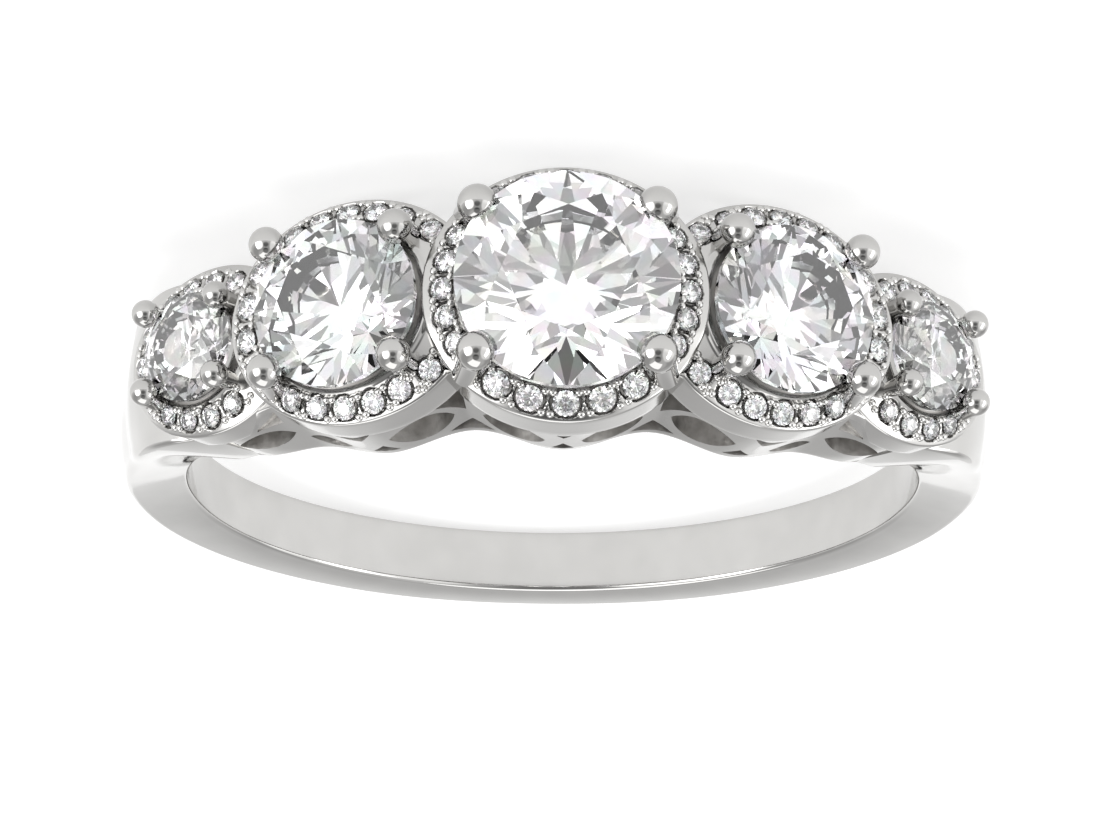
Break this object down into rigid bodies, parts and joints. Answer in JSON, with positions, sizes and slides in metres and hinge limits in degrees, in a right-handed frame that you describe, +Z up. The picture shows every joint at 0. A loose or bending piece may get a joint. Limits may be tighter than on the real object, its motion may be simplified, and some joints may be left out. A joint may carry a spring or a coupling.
{
  "type": "five stone ring",
  "caption": "Finger ring with a row of graduated round stones, each in a rim of small stones, on a plain polished band.",
  "frame": {"origin": "middle of the bottom of the resting ring's box, on the surface that it lies on", "axes": "+Z up, -Y the way that the stones face, X across the row of stones; the finger hole's axis leans 6.2 degrees from +Z toward +Y"},
  "size_m": [0.0206, 0.0232, 0.0061],
  "materials": {
    "white_metal": "high polish, rhodium plated silver",
    "clear_stone": "faceted, polished",
    "small_stone": "faceted, polished"
  },
  "bodies": {
    "root": {"setting": "white_metal", "centre_stone": "clear_stone", "left_inner_stone": "clear_stone", "right_inner_stone": "clear_stone", "left_outer_stone": "clear_stone", "right_outer_stone": "clear_stone", "centre_small_stones": "small_stone", "left_inner_small_stones": "small_stone", "right_inner_small_stones": "small_stone", "left_outer_small_stones": "small_stone", "right_outer_small_stones": "small_stone"}
  },
  "joints": []
}
